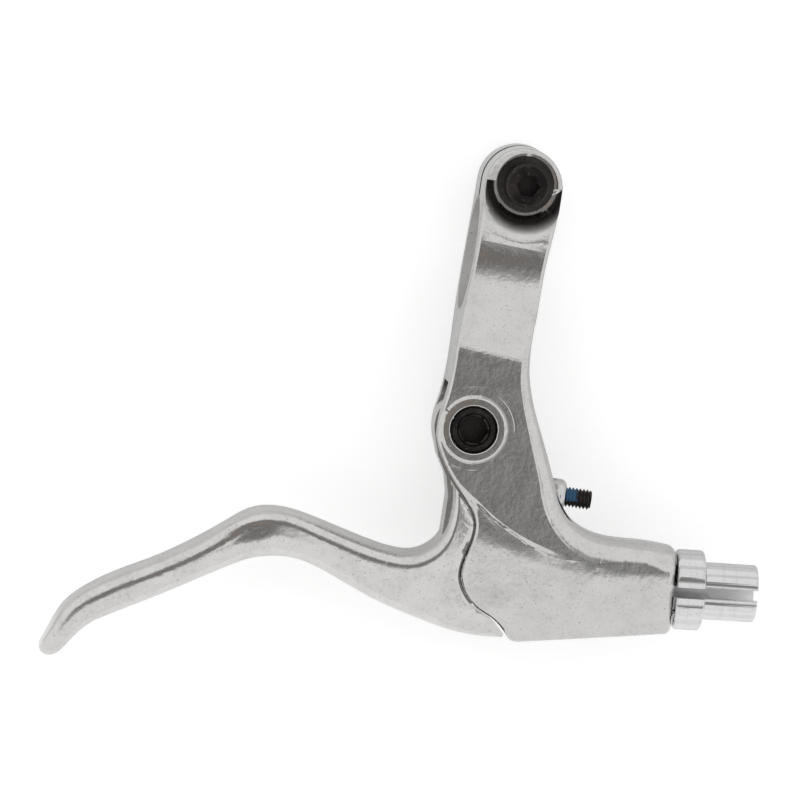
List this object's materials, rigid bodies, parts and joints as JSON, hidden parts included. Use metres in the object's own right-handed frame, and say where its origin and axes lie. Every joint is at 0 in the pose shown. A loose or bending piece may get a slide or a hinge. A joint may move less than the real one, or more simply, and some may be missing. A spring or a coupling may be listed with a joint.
{
  "type": "bicycle brake lever",
  "caption": "Short-blade flat-bar bicycle brake lever with a hinged clamp arm form, pivoting blade, reach screw and slotted cable adjuster.",
  "frame": {"origin": "centre of the handlebar clamp's bore", "axes": "+X along the handlebar towards the cable adjuster, +Y from the blade towards the clamp bolt, +Z along the blade's pivot, towards the head of the pivot bolt"},
  "size_m": [0.1387, 0.1125, 0.028],
  "materials": {
    "forged_aluminium": "polished forging with fine grain",
    "turned_aluminium": "turned and polished",
    "black_steel": "black oxide",
    "plastic_bush": "moulded"
  },
  "bodies": {
    "bracket_body": {"bracket": "forged_aluminium", "pivot_bolt": "black_steel", "pivot_nut": "black_steel", "clamp_bolt": "black_steel", "clamp_washer": "black_steel"},
    "blade": {"brake_blade": "forged_aluminium", "pivot_bush_upper": "plastic_bush", "pivot_bush_lower": "plastic_bush"},
    "reach_screw": {"reach_screw": "black_steel"},
    "lock_ring": {"lock_ring": "turned_aluminium"},
    "adjuster": {"barrel_adjuster": "turned_aluminium"}
  },
  "joints": [
    {"name": "lever_pull", "type": "hinge", "parent": "bracket_body", "child": "blade", "pos_m": [-0.0017, -0.03365, 0], "axis": [0, 0, -1], "range_deg": [0, 36]},
    {"name": "reach_adjust", "type": "slide", "parent": "bracket_body", "child": "reach_screw", "axis": [1, 0, 0], "range_m": [0, 0.004]},
    {"name": "lock_ring_turn", "type": "hinge", "parent": "bracket_body", "child": "lock_ring", "pos_m": [0.04552, -0.05941, 0], "axis": [0.9966, 0.0819, 0], "continuous": true},
    {"name": "cable_adjust", "type": "slide", "parent": "bracket_body", "child": "adjuster", "axis": [0.9966, 0.0819, 0], "range_m": [0, 0.006]}
  ]
}
